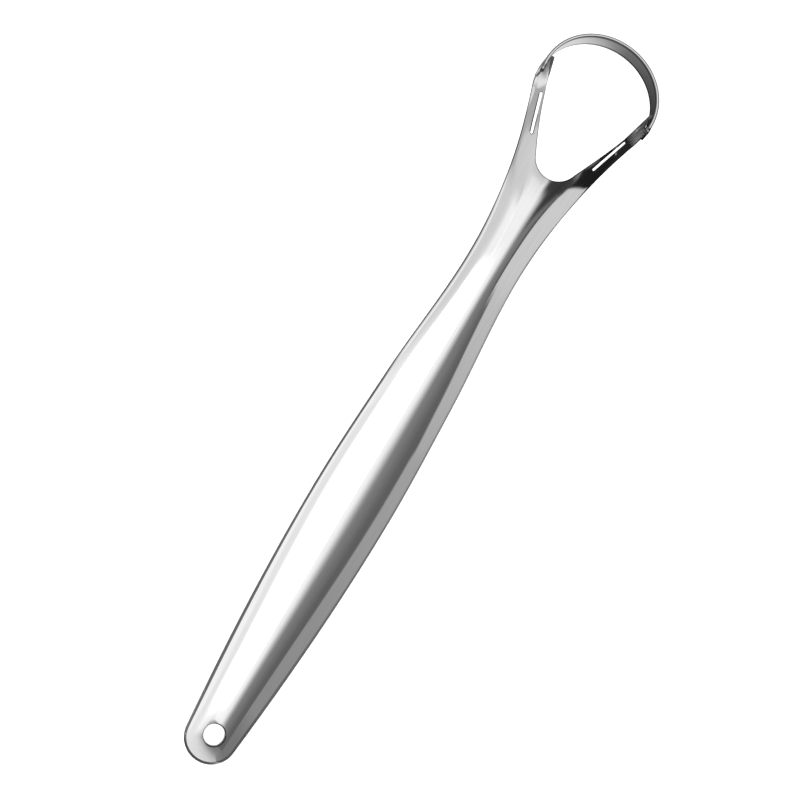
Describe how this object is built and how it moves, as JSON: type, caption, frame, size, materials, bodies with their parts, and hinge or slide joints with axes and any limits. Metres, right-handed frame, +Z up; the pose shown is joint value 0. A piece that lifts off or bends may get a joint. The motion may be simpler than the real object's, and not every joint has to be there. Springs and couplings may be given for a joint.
{
  "type": "tongue scraper",
  "caption": "Steel tongue scraper: a domed pressed handle with a hang hole that forks into two slotted arms, and a curved scraping band fixed on edge between the arm tips.",
  "frame": {"origin": "middle of the hang hole, half way through the sheet", "axes": "+Y from the tail towards the scraping band, +Z up with the domed face on top, +X to the right. The tool stands in its rest pose, on its tail edge and on the front of the band's lower edge, so a floor lies 2.76 mm below the origin"},
  "size_m": [0.0234, 0.155, 0.0098],
  "materials": {
    "handle_steel": "mirror polished stainless steel",
    "band_steel": "polished stainless steel strip",
    "weld": "heat darkened weld bead"
  },
  "bodies": {
    "root": {"handle": "handle_steel", "scraper_band": "band_steel", "left_weld": "weld", "right_weld": "weld"}
  },
  "joints": []
}
